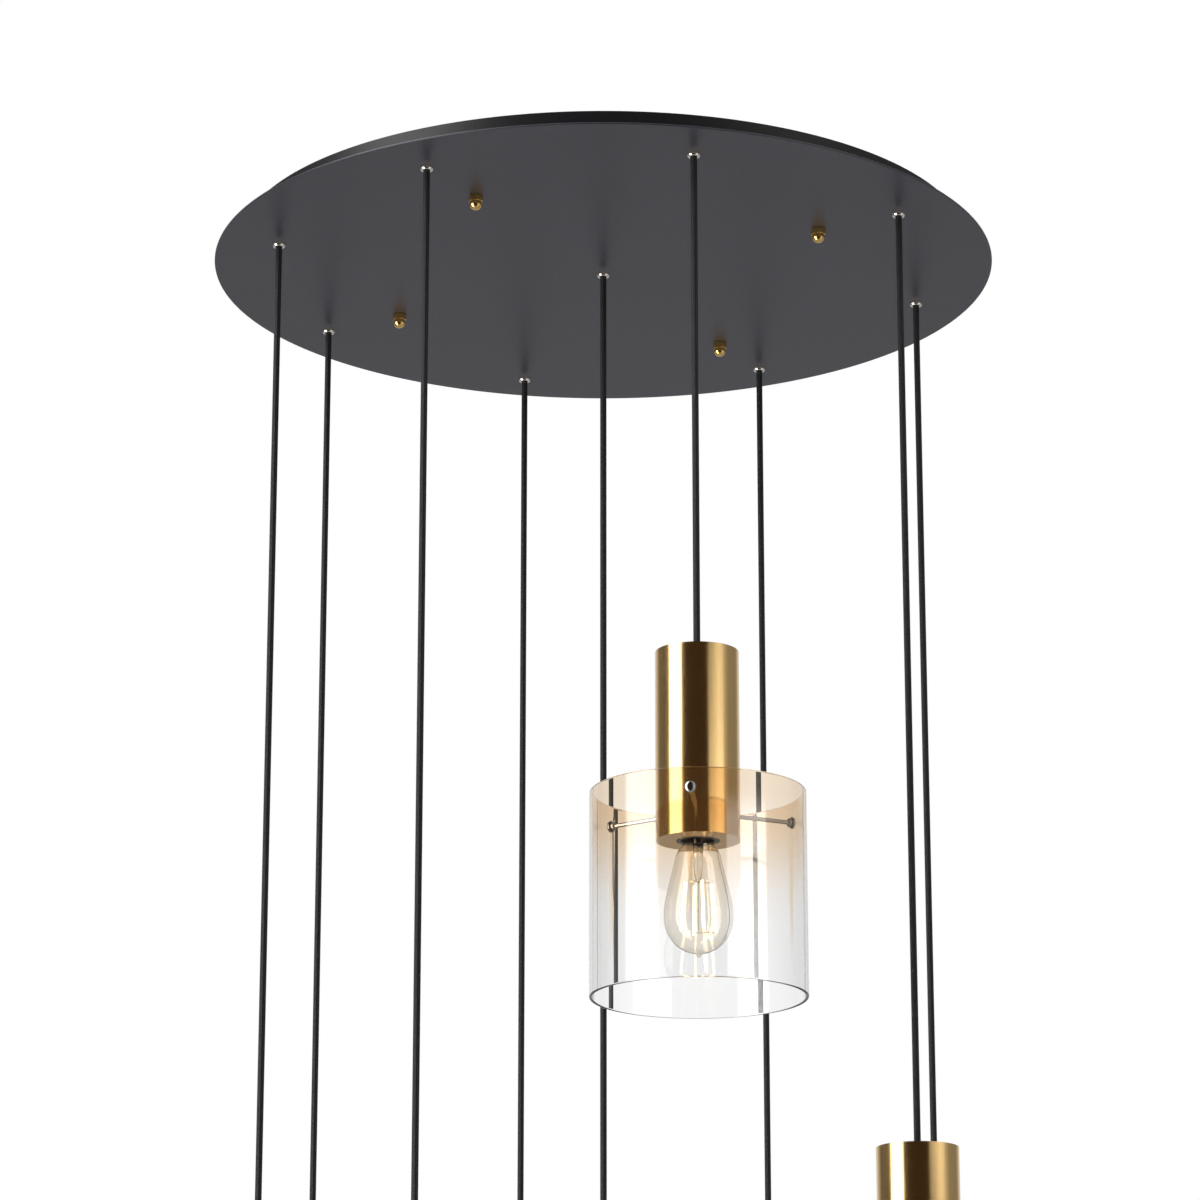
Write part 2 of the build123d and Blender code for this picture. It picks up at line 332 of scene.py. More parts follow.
def black_textile(recipe):
    place = own_place(recipe)
    x, y, z = parts_of(recipe, place)
    around = x.sum_with("ARCTAN2", y, x)
    climb = z * (2.0 * pi / braid_pitch)
    rising = ((around + climb) * (braid_strands / 2.0)).wave()
    falling = ((around - climb) * (braid_strands / 2.0)).wave()
    yarn = recipe.ramp(rising * falling, -0.6, 0.6)
    fuzz = recipe.noise(place, 5200.0, 3.0)
    return {
        "Base Color": recipe.blend(yarn, (0.002, 0.0023, 0.0026, 1.0), (0.014, 0.015, 0.017, 1.0)),
        "Roughness": recipe.ramp(fuzz, 0.2, 0.8, 0.40, 0.60),
        "Specular IOR Level": 0.35,
        "Normal": recipe.bump(yarn * 0.8 + fuzz * 0.2, 0.0004, 0.6),
    }


def black_phenolic(recipe):
    haze = recipe.noise(own_place(recipe), 500.0, 2.0)
    return {
        "Base Color": recipe.blend(haze, (0.010, 0.009, 0.008, 1.0), (0.020, 0.018, 0.016, 1.0)),
        "Roughness": recipe.ramp(haze, 0.2, 0.8, 0.18, 0.30),
    }


def chrome_plate(recipe):
    smudges = recipe.noise(own_place(recipe), 400.0, 2.0)
    return {
        "Base Color": recipe.blend(smudges, (0.44, 0.44, 0.44, 1.0), (0.36, 0.36, 0.37, 1.0)),
        "Metallic": 1.0,
        "Roughness": recipe.ramp(smudges, 0.2, 0.8, 0.05, 0.12),
    }


brass = finish_of("brushed_brass", satin_brass)
textile = finish_of("black_cotton_braid", black_textile)
phenolic = finish_of("black_phenolic", black_phenolic)
chrome = finish_of("chrome_plate", chrome_plate)
print("brass, braid, phenolic and chrome ready")

# %% [markdown]
# ## Glass and glow
# The shade's tint lies on the glass like smoke, strongest at the top and gone a little below the middle.
# Clear glass is never quite colourless either, so its tint drifts between two near whites. The filaments
# glow.

# %% Make the glass and the glow
shade_rim_height = span("glass_shade_1")[1].z - hang_points[1].z
shade_height = span("glass_shade_1")[1].z - span("glass_shade_1")[0].z
tint_reach = 0.62


def amber_glass(recipe):
    place = own_place(recipe)
    height = parts_of(recipe, place)[2]
    below_rim = (shade_rim_height - height) / shade_height
    smoke = recipe.noise(place, 9.0, 2.0)
    tint = recipe.ramp(below_rim + (smoke - 0.5) * 0.06, 0.02, tint_reach, 1.0, 0.0)
    return {
        "Base Color": recipe.blend(tint, (0.985, 0.985, 0.985, 1.0), (0.91, 0.765, 0.60, 1.0)),
        "Roughness": 0.0,
        "IOR": 1.5,
        "Transmission Weight": 1.0,
    }


def drifting_glass(first, second):
    """The sockets of clear glass whose tint drifts between two colours."""

    def sockets(recipe):
        ripple = recipe.noise(own_place(recipe), 40.0, 1.0)
        return {
            "Base Color": recipe.blend(ripple, first, second),
            "Roughness": 0.0,
            "IOR": 1.46,
            "Transmission Weight": 1.0,
        }

    return sockets


def clear_silicone(recipe):
    haze = recipe.noise(own_place(recipe), 900.0, 1.0)
    return {
        "Base Color": recipe.blend(haze, (0.97, 0.97, 0.96, 1.0), (0.92, 0.92, 0.91, 1.0)),
        "Roughness": 0.25,
        "IOR": 1.41,
        "Transmission Weight": 1.0,
    }


def glowing_filament(recipe):
    glow = recipe.noise(own_place(recipe), 1800.0, 2.0)
    return {
        "Base Color": (0.95, 0.78, 0.45, 1.0),
        "Emission Color": recipe.blend(glow, (1.0, 0.80, 0.48, 1.0), (1.0, 0.72, 0.36, 1.0)),
        "Emission Strength": 9.0,
        "Roughness": 0.5,
    }


smoked = finish_of("amber_glass", amber_glass)
clear = finish_of("clear_glass", drifting_glass((1.0, 0.99, 0.96, 1.0), (0.99, 0.975, 0.935, 1.0)))
warm = finish_of("bulb_glass", drifting_glass((1.0, 0.98, 0.94, 1.0), (0.985, 0.955, 0.90, 1.0)))
silicone = finish_of("clear_silicone", clear_silicone)
filament = finish_of("glowing_filament", glowing_filament)
filament.cycles.emission_sampling = "NONE"
print("glass and filaments ready")

# %% [markdown]
# ## Turned pieces
# Nearly every piece of this lamp is round about its own axis. So most pieces are an outline of radius and
# height that is spun round Z. Real edges are never knife sharp: the sharp ones are bevelled after the
# spin, which catches the thin light line that makes metal look real.

# %% Spin, soften and hang a piece
SHARP = radians(35.0)
TINY = 1e-6


def turned(outline, steps=96, closed=True):
    """A form of revolution round Z from (radius, height) points."""
    form = bmesh.new()
    corners = [form.verts.new((radius, 0.0, height)) for radius, height in outline]
    pairs = list(zip(corners, corners[1:]))
    if closed:
        pairs.append((corners[-1], corners[0]))
    edges = [form.edges.new(pair) for pair in pairs]
    bmesh.ops.spin(
        form, geom=corners + edges, cent=(0, 0, 0), axis=(0, 0, 1), angle=2 * pi, steps=steps, use_merge=True
    )
    close_up(form)
    return form


def close_up(form):
    """Merges what lies on itself, such as a pole, and points the faces outwards."""
    bmesh.ops.remove_doubles(form, verts=form.verts, dist=TINY)
    bmesh.ops.recalc_face_normals(form, faces=form.faces)


def soften(form, width, rounds=2):
    """Bevels every sharp edge."""
    sharp = [edge for edge in form.edges if edge.is_manifold and edge.calc_face_angle() > SHARP]
    bmesh.ops.bevel(
        form,
        geom=sharp,
        offset=width,
        segments=rounds,
        profile=0.5,
        affect="EDGES",
        material=-1,
        clamp_overlap=True,
    )


def added(form, other):
    """Puts another form into this one."""
    loose = bpy.data.meshes.new("loose")
    other.to_mesh(loose)
    other.free()
    form.from_mesh(loose)
    bpy.data.meshes.remove(loose)
    return form


def moved(form, matrix):
    bmesh.ops.transform(form, matrix=matrix, verts=form.verts)
    return form


def as_mesh(form, name, finish):
    """Keeps each point's own place as an attribute, then turns the form into a smooth mesh."""
    place = form.verts.layers.float_vector.new("place")
    for corner in form.verts:
        corner[place] = corner.co
    mesh = bpy.data.meshes.new(name)
    form.to_mesh(mesh)
    form.free()
    mesh.materials.append(finish)
    mesh.shade_smooth()
    mesh.set_sharp_from_angle(angle=SHARP)
    return mesh


def placed(mesh, name, body, nodes, where=Vector((0.0, 0.0, 0.0))):
    """An object at the origin whose mesh lies at `where`, riding on a body in place of CAD nodes."""
    own = mesh.copy()
    own.name = name
    own.transform(Matrix.Translation(where))
    piece = bpy.data.objects.new(name, own)
    bpy.context.scene.collection.objects.link(piece)
    even = piece.modifiers.new("even_shading", "WEIGHTED_NORMAL")
    even.keep_sharp = True
    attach(piece, body)
    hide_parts(*nodes)
    return piece


def hung(mesh, stem, body, nodes):
    """One copy of a mesh for each pendant; `body` and `nodes` hold the word that gets the number."""
    for number in PENDANTS:
        numbered = [f"{node}_{number}" for node in nodes]
        placed(mesh, f"{stem}_{number}", f"{body}_{number}", numbered, hang_points[number])
    print(stem, "x", len(PENDANTS), "with", len(mesh.polygons), "faces each")


print("lathe ready")

# %% [markdown]
# ## The canopy
# The canopy is a thin flat plate under a narrower hoop of sheet metal whose lower edge is folded inwards.
# The plate has a hole for each cord and each stud, cut with a Boolean modifier, and a softened rim, which
# shows as a light line between the plate and the dark hoop.

# %% Turn the plate and the hoop
face_span = span("canopy_face")
hoop_span = span("canopy_hoop")
face_radius = face_span[1].x
face_top = face_span[1].z
hoop_radius = hoop_span[1].x
hoop_wall = 1.5 * MM
hoop_fold = 12.0 * MM
cord_hole_radius = 5.1 * MM
stud_hole_radius = 4.5 * MM
stud_ring_radius = 250.0 * MM
FIRST_STUD_TURN = 45.0
CANOPY_STEPS = 256
HOLE_SIDES = 40
CUTTER_HEIGHT = 10.0 * MM

stud_places = []
for quarter in range(4):
    turn = radians(FIRST_STUD_TURN + 90.0 * quarter)
    stud_places.append(Vector((stud_ring_radius * cos(turn), stud_ring_radius * sin(turn), 0.0)))

cutters = bmesh.new()
holes = [(point, cord_hole_radius) for point in hang_points.values()]
holes += [(point, stud_hole_radius) for point in stud_places]
for point, radius in holes:
    hole = bmesh.new()
    bmesh.ops.create_cone(
        hole,
        cap_ends=True,
        segments=HOLE_SIDES,
        radius1=radius,
        radius2=radius,
        depth=CUTTER_HEIGHT,
    )
    added(cutters, moved(hole, Matrix.Translation((point.x, point.y, face_low))))
cutter_mesh = bpy.data.meshes.new("hole_cutters")
cutters.to_mesh(cutter_mesh)
cutters.free()


def cut(mesh, cutter, name):
    """The mesh with the cutter's volume taken away."""
    work = bpy.data.objects.new(name, mesh)
    tool = bpy.data.objects.new(name + "_tool", cutter)
    for item in (work, tool):
        bpy.context.scene.collection.objects.link(item)
    holes_cut = work.modifiers.new("holes", "BOOLEAN")
    holes_cut.operation = "DIFFERENCE"
    holes_cut.solver = "EXACT"
    holes_cut.object = tool
    bpy.context.view_layer.update()
    result = bpy.data.meshes.new_from_object(work.evaluated_get(bpy.context.evaluated_depsgraph_get()))
    for item in (work, tool):
        bpy.data.objects.remove(item)
    result.shade_smooth()
    result.set_sharp_from_angle(angle=SHARP)
    return result


plate = turned(
    [(0.0, face_low), (face_radius, face_low), (face_radius, face_top), (0.0, face_top)],
    steps=CANOPY_STEPS,
    closed=False,
)
soften(plate, 0.7 * MM, rounds=3)
plate_mesh = cut(as_mesh(plate, "plate", graphite), cutter_mesh, "canopy_plate")
placed(plate_mesh, "canopy_plate", "canopy", ["canopy_face"])

hoop = turned(
    [
        (hoop_radius, face_top),
        (hoop_radius, 0.0),
        (hoop_radius - hoop_wall, 0.0),
        (hoop_radius - hoop_wall, face_top + hoop_wall),
        (hoop_radius - hoop_wall - hoop_fold, face_top + hoop_wall),
        (hoop_radius - hoop_wall - hoop_fold, face_top),
    ],
    steps=CANOPY_STEPS,
)
soften(hoop, 0.4 * MM)
placed(as_mesh(hoop, "hoop", black), "canopy_band", "canopy", ["canopy_hoop"])
print("plate radius:", round(face_radius, 4), "with", len(holes), "holes")

# %% [markdown]
# ## What the ceiling hides
# The cross bars, their studs and the terminal block keep the shape of the frame: nobody sees them from
# below, and from above their plain bent steel and moulding need only a true finish.

# %% Dress the bracket and the terminal block
for node, finish in (("ceiling_bracket", zinc), ("terminal_block", cream)):
    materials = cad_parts[node].data.materials
    materials.clear()
    materials.append(finish)
print("bracket and block dressed")

# %% [markdown]
# ## Acorn nuts
# Four acorn nuts hold the plate: a hexagon with its corners turned off, and a tall dome. The hexagon
# starts as a six-sided prism, and a bevel on its rims stands for the turned-off corners.

# %% Make the nuts
nut_low = span("acorn_nuts")[0].z
hex_height = 6.5 * MM
nut_flats = 13.0 * MM
nut_chamfer = 0.5 * MM
dome_overlap = 1.0 * MM
dome_radius = 6.2 * MM
dome_shoulder = 2.3 * MM
ARC_STEPS = 10


def hexagon(flats, height, chamfer):
    """A hexagonal prism that stands on Z = 0, with its rims bevelled."""
    corner = flats / 2.0 / cos(pi / 6.0)
    form = bmesh.new()
    bmesh.ops.create_cone(form, cap_ends=True, segments=6, radius1=corner, radius2=corner, depth=height)
    moved(form, Matrix.Translation((0.0, 0.0, height / 2.0)))
    rims = [edge for edge in form.edges if abs(edge.verts[0].co.z - edge.verts[1].co.z) < TINY]
    bmesh.ops.bevel(form, geom=rims, offset=chamfer, segments=2, profile=0.5, affect="EDGES", material=-1)
    return form


def quarter_arc(start, end):
    """A quarter of an ellipse as (radius, height) points, upright at `start` and level at `end`."""
    across = start[0] - end[0]
    rise = end[1] - start[1]
    turns = [pi / 2.0 * step / ARC_STEPS for step in range(ARC_STEPS + 1)]
    return [(end[0] + across * cos(turn), start[1] + rise * sin(turn)) for turn in turns]


hex_low = face_low - hex_height
dome_root = hex_low + dome_overlap
nut = moved(hexagon(nut_flats, hex_height, nut_chamfer), Matrix.Translation((0.0, 0.0, hex_low)))
dome = turned(
    [(0.0, dome_root), (dome_radius, dome_root), (dome_radius, hex_low)]
    + quarter_arc((dome_radius, hex_low - dome_shoulder), (0.0, nut_low)),
    steps=48,
    closed=False,
)
nut_mesh = as_mesh(added(nut, dome), "nut", brass_polished)
for quarter, point in enumerate(stud_places, start=1):
    placed(nut_mesh, f"acorn_nut_{quarter}", "canopy", ["acorn_nuts"], point)

print("nuts:", len(stud_places))

# %% [markdown]
# ## Cord glands
# A gland is a nickel dome with a hole for the cord. Its threaded shank goes up through the plate into a
# thin nut with a flat flange at its foot.

# %% Make the glands
gland_low, gland_high = span("cord_glands")
gland_mouth = gland_low.z
shank_top = gland_high.z
gland_radius = 6.5 * MM
mouth_radius = 4.7 * MM
gland_bore = 3.65 * MM
shank_radius = 5.0 * MM
dome_height = 2.6 * MM
locknut_height = 3.0 * MM
locknut_flats = 14.0 * MM
locknut_chamfer = 0.4 * MM
ring_thickness = 0.4 * MM
thread_step = 0.5 * MM
thread_depth = 0.45 * MM

collar = quarter_arc((gland_radius, gland_mouth + dome_height), (mouth_radius, gland_mouth))
thread = []
step = 0
while face_low + step * thread_step < shank_top:
    thread.append((shank_radius - thread_depth * (step % 2), face_low + step * thread_step))
    step += 1
thread.append((gland_bore, shank_top))
outline = [(gland_bore, gland_mouth)] + collar[::-1] + [(gland_radius, face_low)] + thread
gland_mesh = as_mesh(turned(outline, steps=48), "gland", nickel)
locknut = hexagon(locknut_flats, locknut_height, locknut_chamfer)
moved(locknut, Matrix.Translation((0.0, 0.0, face_top)))
washer_ring = turned(
    [
        (shank_radius, face_top),
        (locknut_flats / 2.0, face_top),
        (locknut_flats / 2.0, face_top + ring_thickness),
        (shank_radius, face_top + ring_thickness),
    ],
    steps=48,
)
locknut_mesh = as_mesh(added(locknut, washer_ring), "locknut", nickel)
for number, point in hang_points.items():
    where = Vector((point.x, point.y, 0.0))
    placed(gland_mesh, f"cord_gland_{number}", "canopy", ["cord_glands"], where)
    placed(locknut_mesh, f"gland_nut_{number}", "canopy", ["cord_glands"], where)
print("glands:", len(hang_points))

# %% [markdown]
# ## The cords
# A pendant of about 1.6 kilograms pulls each cord dead straight. Each one is a round braid: a circle
# swept along the cord's own line, riding on the cord's own body. When the fitter raises a pendant, spare
# cord goes up into the canopy.

# %% Sweep the braids
cord_radius = 3.25 * MM
cord_sides = 24
route_points = 5


def route_of(top, low):
    """Points read from the smooth line of a cord between two places."""
    curve = bpy.data.curves.new("route", "CURVE")
    curve.dimensions = "3D"
    spline = curve.splines.new("NURBS")
    spline.points.add(route_points - 1)
    for index, point in enumerate(spline.points):
        point.co = top.lerp(low, index / (route_points - 1)).to_4d()
    spline.order_u = 3
    spline.use_endpoint_u = True
    line = bpy.data.objects.new("route", curve)
    bpy.context.scene.collection.objects.link(line)
    mesh = bpy.data.meshes.new_from_object(line)
    points = [corner.co.copy() for corner in mesh.vertices]
    bpy.data.objects.remove(line)
    bpy.data.meshes.remove(mesh)
    return points


def swept(points, radius, sides):
    """A closed round tube down a straight line of points."""
    form = bmesh.new()
    bmesh.ops.create_circle(form, cap_ends=True, segments=sides, radius=radius)
    moved(form, Matrix.Translation(points[0]))
    end = form.faces[:]
    for start, stop in zip(points, points[1:]):
        stretch = bmesh.ops.extrude_face_region(form, geom=end)["geom"]
        bmesh.ops.delete(form, geom=end, context="FACES_ONLY")
        end = [item for item in stretch if isinstance(item, bmesh.types.BMFace)]
        corners = [item for item in stretch if isinstance(item, bmesh.types.BMVert)]
        bmesh.ops.translate(form, verts=corners, vec=stop - start)
    bmesh.ops.holes_fill(form, edges=[edge for edge in form.edges if edge.is_boundary], sides=sides)
    close_up(form)
    return form


for number, point in hang_points.items():
    low, high = span(f"cord_{number}")
    top = Vector((point.x, point.y, high.z))
    end = Vector((point.x, point.y, low.z))
    line = route_of(top, end)
    axis = Vector((point.x, point.y, 0.0))
    tube = swept([place - axis for place in line], cord_radius, cord_sides)
    cord = placed(as_mesh(tube, "braid", textile), f"braided_cord_{number}", f"hanging_cord_{number}",
                  [f"cord_{number}"], axis)
    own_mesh(cord)
print("cord lengths:", [round(span(f"cord_{n}")[1].z - span(f"cord_{n}")[0].z, 3) for n in PENDANTS])

# %% [markdown]
# ## The sleeve
# The sleeve is a brass tube, closed above round the cord and narrowed below by a flat ring.

# %% Turn the sleeve
sleeve_low, sleeve_high = span("sleeve_1")
sleeve_length = sleeve_high.z - sleeve_low.z
sleeve_radius = 39.0 * MM
sleeve_wall = 1.2 * MM
end_thickness = 1.5 * MM
sleeve_mouth_radius = 20.0 * MM
grip_radius = 7.0 * MM
grip_length = 10.0 * MM
cord_bore = 3.65 * MM

sleeve = turned(
    [
        (sleeve_radius, 0.0),
        (sleeve_radius, -sleeve_length),
        (sleeve_mouth_radius, -sleeve_length),
        (sleeve_mouth_radius, end_thickness - sleeve_length),
        (sleeve_radius - sleeve_wall, end_thickness - sleeve_length),
        (sleeve_radius - sleeve_wall, -end_thickness),
        (grip_radius, -end_thickness),
        (grip_radius, -grip_length),
        (cord_bore, -grip_length),
        (cord_bore, 0.0),
    ]
)
soften(sleeve, 0.35 * MM)
hung(as_mesh(sleeve, "sleeve", brass), "brass_sleeve", "pendant", ["sleeve"])

# %% [markdown]
# ## The lampholder
# Inside the sleeve, the black lampholder rests on the flat ring. Its mouth shows moulded rings of thread
# round the bulb's neck.

# %% Turn the lampholder
holder_radius = 19.5 * MM
holder_length = 50.0 * MM
holder_collar_radius = 23.5 * MM
holder_collar_height = 3.0 * MM
holder_mouth_radius = 16.0 * MM
holder_mouth_depth = 9.0 * MM
socket_radius = 13.15 * MM
bulb_depth = 33.5 * MM
ring_pitch = 2.0 * MM
ring_depth = 0.7 * MM
ring_count = 4
first_ring = 0.6 * MM

mouth_rings = []
for ring in range(ring_count):
    height = -sleeve_length + first_ring + ring * ring_pitch
    mouth_rings.append((holder_mouth_radius, height))
    mouth_rings.append((holder_mouth_radius - ring_depth, height + ring_pitch / 2.0))
seat = end_thickness - sleeve_length
holder = turned(
    [
        (holder_radius, -sleeve_length),
        (holder_radius, seat),
        (holder_collar_radius, seat),
        (holder_collar_radius, seat + holder_collar_height),
        (holder_radius, seat + holder_collar_height),
        (holder_radius, holder_length - sleeve_length),
        (0.0, holder_length - sleeve_length),
        (0.0, bulb_depth - sleeve_length),
        (socket_radius, bulb_depth - sleeve_length),
        (socket_radius, holder_mouth_depth - sleeve_length),
        (holder_mouth_radius, holder_mouth_depth - sleeve_length),
    ]
    + mouth_rings[::-1]
    + [(holder_mouth_radius, -sleeve_length)],
    steps=64,
)
hung(as_mesh(holder, "holder", phenolic), "black_lampholder", "pendant", ["lampholder"])

# %% [markdown]
# ## The bulb
# The bulb's envelope is thin blown glass, pear-shaped, and ends in a small drip. It is one open outline
# of four curves, each drawn out by a pull at either end. The outline is spun, and a solidify step gives
# the glass its wall.

# %% Blow the envelope
bulb_low = span("bulb_1")[0].z - hang_points[1].z
base_top = span("bulb_1")[1].z - hang_points[1].z
base_length = 26.0 * MM
base_low = base_top - base_length
neck_radius = 12.8 * MM
belly_radius = 32.0 * MM
belly_height = -sleeve_length - 71.0 * MM
belly_pull = 18.0 * MM
glass_wall = 0.7 * MM
CURVE_STEPS = 14
DRIP_STEPS = 6

neck_top = (neck_radius, -sleeve_length + 1.0 * MM)
below_neck = (neck_radius + 0.6 * MM, -sleeve_length - 5.5 * MM)
above_shoulder = (19.5 * MM, -sleeve_length - 7.5 * MM)
shoulder_top = (21.0 * MM, -sleeve_length - 15.0 * MM)
below_shoulder = (24.9 * MM, -sleeve_length - 35.0 * MM)
above_belly = (belly_radius, belly_height + belly_pull)
belly = (belly_radius, belly_height)
below_belly = (belly_radius, belly_height - belly_pull)
beside_drip = (20.0 * MM, bulb_low + 5.0 * MM)
drip_top = (3.2 * MM, bulb_low + 3.4 * MM)
below_drip = (2.0 * MM, bulb_low + 3.1 * MM)
beside_tip = (1.8 * MM, bulb_low)
drip_tip = (0.0, bulb_low)


def curve_through(start, start_pull, end_pull, end, steps=CURVE_STEPS):
    """A curve as (radius, height) points from `start`, drawn towards one pull, to `end`, from the other."""
    knots = [Vector((radius, height, 0.0)) for radius, height in (start, start_pull, end_pull, end)]
    return [(point.x, point.y) for point in interpolate_bezier(*knots, steps)]


neck = curve_through(neck_top, below_neck, above_shoulder, shoulder_top)
shoulder = curve_through(shoulder_top, below_shoulder, above_belly, belly)
bowl = curve_through(belly, below_belly, beside_drip, drip_top)
drip = curve_through(drip_top, below_drip, beside_tip, drip_tip, DRIP_STEPS)
bulb_outline = [(neck_radius, base_low)] + neck + shoulder[1:] + bowl[1:] + drip[1:]
envelope = turned(bulb_outline, steps=72, closed=False)
bmesh.ops.solidify(envelope, geom=envelope.faces[:], thickness=glass_wall)
close_up(envelope)
envelope_mesh = as_mesh(envelope, "envelope", warm)
hung(envelope_mesh, "bulb_glass", "lamp", ["bulb"])

# %% [markdown]
# ## The screw base
# The base is rolled from thin sheet, so its thread is a soft wave. The cone and the contact above it are
# turned in one with it.

# %% Roll the screw base
thread_rounds = 6
steps_a_round = 6
plain_length = 6.0 * MM
skirt_length = 1.5 * MM
skirt_radius = 12.5 * MM
valley_depth = 0.6 * MM
thread_height = 1.1 * MM
contact_radius = 4.5 * MM

rolled = []
round_length = (base_length - plain_length) / thread_rounds
for step in range(thread_rounds * steps_a_round + 1):
    rounds_up = step / steps_a_round
    bulge = (1.0 - cos(2.0 * pi * rounds_up)) / 2.0
    radius = skirt_radius - valley_depth + thread_height * bulge
    rolled.append((radius, base_low + skirt_length + round_length * rounds_up))
base = turned(
    [(skirt_radius, base_low)]
    + rolled
    + [
        (10.0 * MM, base_top - 2.5 * MM),
        (contact_radius, base_top - 1.0 * MM),
        (contact_radius, base_top),
        (0.0, base_top),
        (0.0, base_low),
    ],
    steps=64,
)
hung(as_mesh(base, "base", nickel), "bulb_screw_base", "lamp", ["bulb"])

# %% [markdown]
# ## The stem and the filaments
# A glass stem hangs in the bulb and carries four long filaments on fine wires. The filaments lean
# outwards, so they are wider apart below than above.

# %% Draw the stem and string the filaments
stem_length = 46.0 * MM
stem_low = base_low - stem_length
flare_radius = 7.0 * MM
stem_radius = 4.0 * MM
pinch_radius = 2.6 * MM
tip_radius = 1.6 * MM
filament_length = 47.0 * MM
filament_low = stem_low - filament_length
filament_top_spread = 12.5 * MM
filament_low_spread = 16.5 * MM
filament_radius = 1.2 * MM
filament_end = 1.0 * MM
wire_radius = 0.35 * MM
middle_wire_radius = 0.28 * MM
wire_root = 2.0 * MM
wire_sag = 0.3 * MM
WIRE_SIDES = 8

flare = curve_through(
    (flare_radius, base_low - 1.0 * MM),
    (stem_radius + 0.2 * MM, base_low - 9.0 * MM),
    (stem_radius, stem_low + 22.0 * MM),
    (stem_radius, stem_low + 10.0 * MM),
)
stem = turned(
    [(0.0, base_low), (flare_radius, base_low)]
    + flare
    + [(pinch_radius, stem_low + 3.0 * MM), (tip_radius, stem_low), (0.0, stem_low)],
    steps=40,
    closed=False,
)
hung(as_mesh(stem, "stem", clear), "bulb_stem", "lamp", ["bulb"])


def rod_between(start, end, radius, sides=12):
    """A round rod from one point to another."""
    along = end - start
    length = along.length
    form = bmesh.new()
    bmesh.ops.create_cone(form, cap_ends=True, segments=sides, radius1=radius, radius2=radius, depth=length)
    turn = along.to_track_quat("Z", "Y").to_matrix().to_4x4()
    return moved(form, Matrix.Translation((start + end) / 2.0) @ turn)


wires = bmesh.new()
strips = bmesh.new()
inner_top = Vector((0.0, 0.0, stem_low + wire_root))
inner_low = Vector((0.0, 0.0, filament_low - wire_sag))
for quarter in range(4):
    turn = Matrix.Rotation(radians(90.0 * quarter), 4, "Z")
    top = turn @ Vector((filament_top_spread, 0.0, stem_low - filament_end))
    low = turn @ Vector((filament_low_spread, 0.0, filament_low + filament_end))
    added(wires, rod_between(inner_top, top, wire_radius, WIRE_SIDES))
    added(wires, rod_between(inner_low, low, wire_radius, WIRE_SIDES))
    added(strips, rod_between(top, low, filament_radius))
added(wires, rod_between(inner_low, inner_top, middle_wire_radius, WIRE_SIDES))
soften(strips, 0.3 * MM)
hung(as_mesh(wires, "wires", nickel), "filament_wires", "lamp", ["bulb"])
hung(as_mesh(strips, "strips", filament), "filaments", "lamp", ["bulb"])

# %% [markdown]
# ## The shade
# The shade is a piece of drawn glass tube, open at both ends, with its cut rims melted round. Three
# drilled holes near the top let the screws of the arms through. The tube is spun as a closed wall, so
# light bends in it as it should.

# %% Draw the glass tube
shade_radius = 100.0 * MM
shade_wall = 3.0 * MM
shade_low = shade_rim_height - shade_height
arm_height = shade_rim_height - 19.0 * MM
FIRST_ARM_TURN = 250.0
arm_turns = [radians(FIRST_ARM_TURN + 120.0 * arm) for arm in range(3)]
shade_hole_radius = 3.0 * MM
drill_reach = 3.0 * shade_wall

tube = turned(
    [
        (shade_radius, shade_low),
        (shade_radius, shade_rim_height),
        (shade_radius - shade_wall, shade_rim_height),
        (shade_radius - shade_wall, shade_low),
    ],
    steps=160,
)
soften(tube, 1.1 * MM, rounds=4)
drills = bmesh.new()
for turn in arm_turns:
    outwards = Vector((cos(turn), sin(turn), 0.0))
    level = Vector((0.0, 0.0, arm_height))
    near = outwards * (shade_radius - drill_reach) + level
    far = outwards * (shade_radius + drill_reach) + level
    added(drills, rod_between(near, far, shade_hole_radius, sides=32))
drill_mesh = bpy.data.meshes.new("drills")
drills.to_mesh(drill_mesh)
drills.free()
shade_mesh = cut(as_mesh(tube, "tube", smoked), drill_mesh, "shade")
hung(shade_mesh, "amber_shade", "pendant", ["glass_shade"])

# %% [markdown]
# ## The arms that hold the shade
# Three thin chrome rods stand out from the sleeve. Each ends in a small collar, a clear washer keeps it
# off the glass, and a domed cap screw goes through the hole from outside.

# %% Make the arms, washers and cap screws
arm_radius = 2.0 * MM
collar_radius = 4.0 * MM
collar_length = 2.0 * MM
glass_gap = 0.3 * MM
cap_radius = 5.5 * MM
cap_rim = 1.0 * MM
cap_height = 4.4 * MM
washer_bore = arm_radius + 0.2 * MM
washer_radius = cap_radius - 0.5 * MM
washer_play = 0.02 * MM
arm_end = shade_radius - shade_wall - glass_gap
cap_seat = shade_radius + glass_gap


def around_sleeve(form):
    """Three copies of an upright form, laid down along the arms."""
    trio = bmesh.new()
    for turn in arm_turns:
        copy = form.copy()
        lay = Matrix.Translation((0.0, 0.0, arm_height)) @ Matrix.Rotation(turn, 4, "Z")
        moved(copy, lay @ Matrix.Rotation(radians(90.0), 4, "Y"))
        added(trio, copy)
    form.free()
    return trio


rod = turned(
    [
        (0.0, sleeve_radius),
        (arm_radius, sleeve_radius),
        (arm_radius, arm_end - collar_length),
        (collar_radius, arm_end - collar_length),
        (collar_radius, arm_end),
        (0.0, arm_end),
    ],
    steps=32,
    closed=False,
)
soften(rod, 0.25 * MM)
hung(as_mesh(around_sleeve(rod), "rods", chrome), "shade_arm_rods", "pendant", ["shade_arms"])

